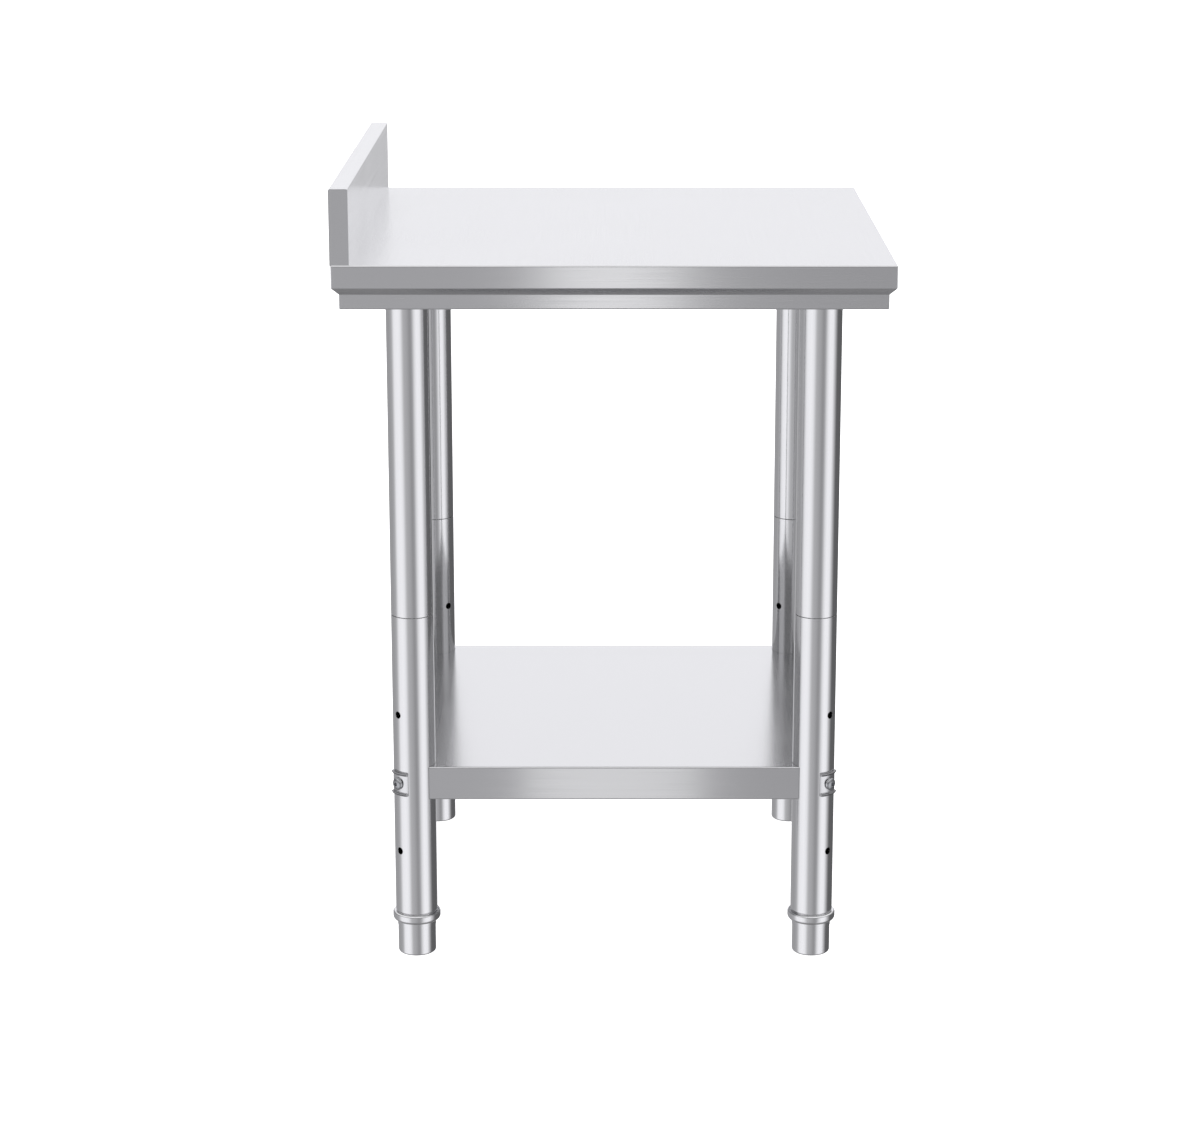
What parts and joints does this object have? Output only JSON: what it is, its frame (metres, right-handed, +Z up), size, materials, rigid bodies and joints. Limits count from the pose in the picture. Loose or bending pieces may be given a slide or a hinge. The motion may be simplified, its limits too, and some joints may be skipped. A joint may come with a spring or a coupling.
{
  "type": "stainless work table",
  "caption": "Small square steel work table with a backsplash, a stepped worktop edge, round two-piece legs, a bolted lower shelf and screw-adjusted feet.",
  "frame": {"origin": "on the floor, under the middle of the table's outline with the backsplash", "axes": "+Z up, +Y towards the backsplash and the wall, +X to the user's right, who stands at -Y"},
  "size_m": [0.61, 0.611, 0.897],
  "materials": {
    "satin_stainless": "satin brushed stainless sheet, fine straight grain",
    "polished_stainless": "bright polished stainless tube and turned feet",
    "galvanised_steel": "galvanised folded steel with a faint spangle",
    "zinc_plated_steel": "bright zinc-plated fasteners and pressings"
  },
  "bodies": {
    "table": {"worktop_sheet": "satin_stainless", "backsplash_end_cap_left": "satin_stainless", "backsplash_end_cap_right": "satin_stainless", "worktop_stiffener_left": "galvanised_steel", "worktop_stiffener_middle": "galvanised_steel", "worktop_stiffener_right": "galvanised_steel", "shelf_sheet": "satin_stainless", "shelf_stiffener": "galvanised_steel", "leg_socket_front_left": "galvanised_steel", "socket_screw_front_left": "zinc_plated_steel", "upper_leg_front_left": "polished_stainless", "leg_coupling_front_left": "zinc_plated_steel", "lower_leg_front_left": "polished_stainless", "saddle_washer_front_left": "zinc_plated_steel", "shelf_bolt_front_left": "zinc_plated_steel", "shelf_corner_seat_front_left": "satin_stainless", "shelf_nut_front_left": "zinc_plated_steel", "foot_collar_front_left": "polished_stainless", "leg_socket_front_right": "galvanised_steel", "socket_screw_front_right": "zinc_plated_steel", "upper_leg_front_right": "polished_stainless", "leg_coupling_front_right": "zinc_plated_steel", "lower_leg_front_right": "polished_stainless", "saddle_washer_front_right": "zinc_plated_steel", "shelf_bolt_front_right": "zinc_plated_steel", "shelf_corner_seat_front_right": "satin_stainless", "shelf_nut_front_right": "zinc_plated_steel", "foot_collar_front_right": "polished_stainless", "leg_socket_rear_left": "galvanised_steel", "socket_screw_rear_left": "zinc_plated_steel", "upper_leg_rear_left": "polished_stainless", "leg_coupling_rear_left": "zinc_plated_steel", "lower_leg_rear_left": "polished_stainless", "saddle_washer_rear_left": "zinc_plated_steel", "shelf_bolt_rear_left": "zinc_plated_steel", "shelf_corner_seat_rear_left": "satin_stainless", "shelf_nut_rear_left": "zinc_plated_steel", "foot_collar_rear_left": "polished_stainless", "leg_socket_rear_right": "galvanised_steel", "socket_screw_rear_right": "zinc_plated_steel", "upper_leg_rear_right": "polished_stainless", "leg_coupling_rear_right": "zinc_plated_steel", "lower_leg_rear_right": "polished_stainless", "saddle_washer_rear_right": "zinc_plated_steel", "shelf_bolt_rear_right": "zinc_plated_steel", "shelf_corner_seat_rear_right": "satin_stainless", "shelf_nut_rear_right": "zinc_plated_steel", "foot_collar_rear_right": "polished_stainless"},
    "foot_front_left": {"foot_barrel_front_left": "polished_stainless", "foot_stud_front_left": "zinc_plated_steel"},
    "foot_front_right": {"foot_barrel_front_right": "polished_stainless", "foot_stud_front_right": "zinc_plated_steel"},
    "foot_rear_left": {"foot_barrel_rear_left": "polished_stainless", "foot_stud_rear_left": "zinc_plated_steel"},
    "foot_rear_right": {"foot_barrel_rear_right": "polished_stainless", "foot_stud_rear_right": "zinc_plated_steel"}
  },
  "joints": [
    {"name": "foot_front_left_height", "type": "slide", "parent": "table", "child": "foot_front_left", "axis": [0, 0, 1], "range_m": [0, 0.025]},
    {"name": "foot_front_right_height", "type": "slide", "parent": "table", "child": "foot_front_right", "axis": [0, 0, 1], "range_m": [0, 0.025]},
    {"name": "foot_rear_left_height", "type": "slide", "parent": "table", "child": "foot_rear_left", "axis": [0, 0, 1], "range_m": [0, 0.025]},
    {"name": "foot_rear_right_height", "type": "slide", "parent": "table", "child": "foot_rear_right", "axis": [0, 0, 1], "range_m": [0, 0.025]}
  ]
}
